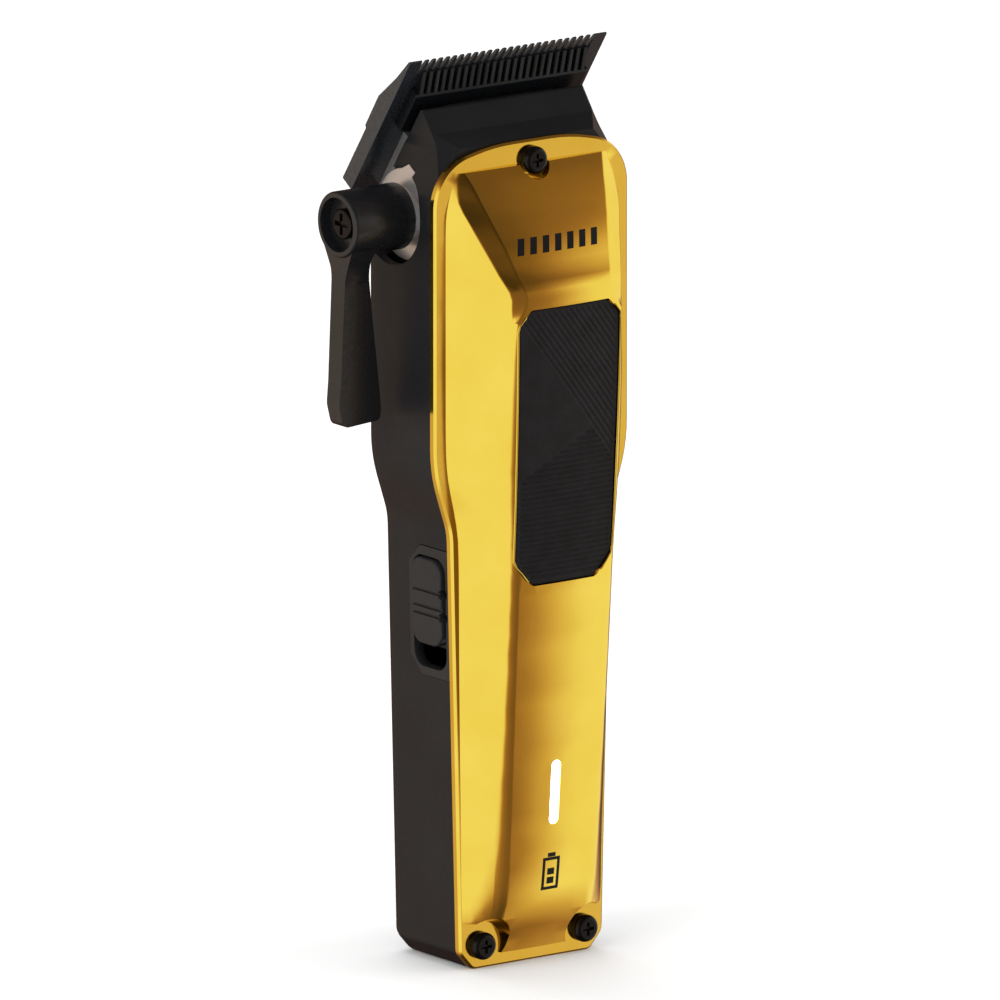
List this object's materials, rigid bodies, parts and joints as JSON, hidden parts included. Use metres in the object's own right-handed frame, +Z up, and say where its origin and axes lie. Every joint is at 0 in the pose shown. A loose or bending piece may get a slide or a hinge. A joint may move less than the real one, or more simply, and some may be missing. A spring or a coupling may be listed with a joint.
{
  "type": "cordless hair clipper",
  "caption": "Cordless hair clipper with a metal front cover, rubber grip pad, toothed blades, side taper lever, side slide switch and a lit status bar.",
  "frame": {"origin": "middle of the flat tail face", "axes": "+Z runs up the body to the blade, -Y faces the metal front cover, -X is the side with the taper lever and the switch"},
  "size_m": [0.0598, 0.042, 0.1781],
  "materials": {
    "housing_black": "satin moulded",
    "gold_plate": "gold-tone plated, glossy",
    "pad_rubber": "fine ribbed",
    "light_guide": "frosted, lit white",
    "screw_black": "gloss black",
    "switch_black": "satin",
    "blade_dlc": "black coated steel",
    "lever_black": "matte black",
    "steel": "satin",
    "chassis_grey": "moulded",
    "board_green": "solder mask",
    "chip_black": "moulded",
    "cell_wrap": "shrink wrap",
    "brass": "plated",
    "copper": "enamelled windings",
    "arm_plastic": "acetal"
  },
  "bodies": {
    "body": {"rear_housing": "housing_black", "front_cover": "gold_plate", "grip_pad": "pad_rubber", "light_pipe": "light_guide", "cover_screws": "screw_black", "switch_bezel": "switch_black", "slide_switch": "chip_black", "chassis": "chassis_grey", "chassis_screws": "steel", "battery_cell": "cell_wrap", "battery_tabs": "steel", "circuit_board": "board_green", "controller_chip": "chip_black", "board_parts": "chip_black", "indicator_led": "light_guide", "port_shell": "steel", "port_tongue": "chip_black", "charge_contacts": "brass", "motor_can": "steel", "bearing_ring": "brass", "end_bearing": "brass", "motor_mount": "chassis_grey", "motor_dampers": "pad_rubber", "guide_pins": "steel", "cutter_spring": "steel", "lever_bush": "brass", "lever_plate": "steel", "spring_washer": "steel"},
    "lever": {"taper_lever": "lever_black", "lever_screw": "screw_black", "lever_shaft": "steel"},
    "blade": {"fixed_blade": "blade_dlc", "blade_carrier": "steel", "blade_screws": "screw_black"},
    "cutter": {"cutter_blade": "blade_dlc", "drive_arm": "arm_plastic"},
    "rotor": {"rotor_coil": "copper", "motor_shaft": "steel", "crank_disc": "arm_plastic", "crank_pin": "steel"},
    "slider": {"power_slider": "switch_black"}
  },
  "joints": [
    {"name": "taper_lever", "type": "hinge", "parent": "body", "child": "lever", "pos_m": [-0.0289, 0.00248, 0.1467], "axis": [-1, 0, 0], "range_deg": [0, 55]},
    {"name": "blade_adjust", "type": "slide", "parent": "body", "child": "blade", "axis": [0, 0.565, -0.8251], "range_m": [0, 0.00189]},
    {"name": "cutter_stroke", "type": "slide", "parent": "body", "child": "cutter", "axis": [1, 0, 0], "range_m": [-0.0013, 0.0013]},
    {"name": "rotor_spin", "type": "hinge", "parent": "body", "child": "rotor", "pos_m": [0, -0.001, 0.12], "axis": [0, 0, 1], "continuous": true},
    {"name": "power_slide", "type": "slide", "parent": "body", "child": "slider", "axis": [0, 0, 1], "range_m": [-0.0043, 0]}
  ],
  "couplings": [
    {"joint": "blade_adjust", "follows": "taper_lever", "m_per_rad": 0.0019722}
  ]
}
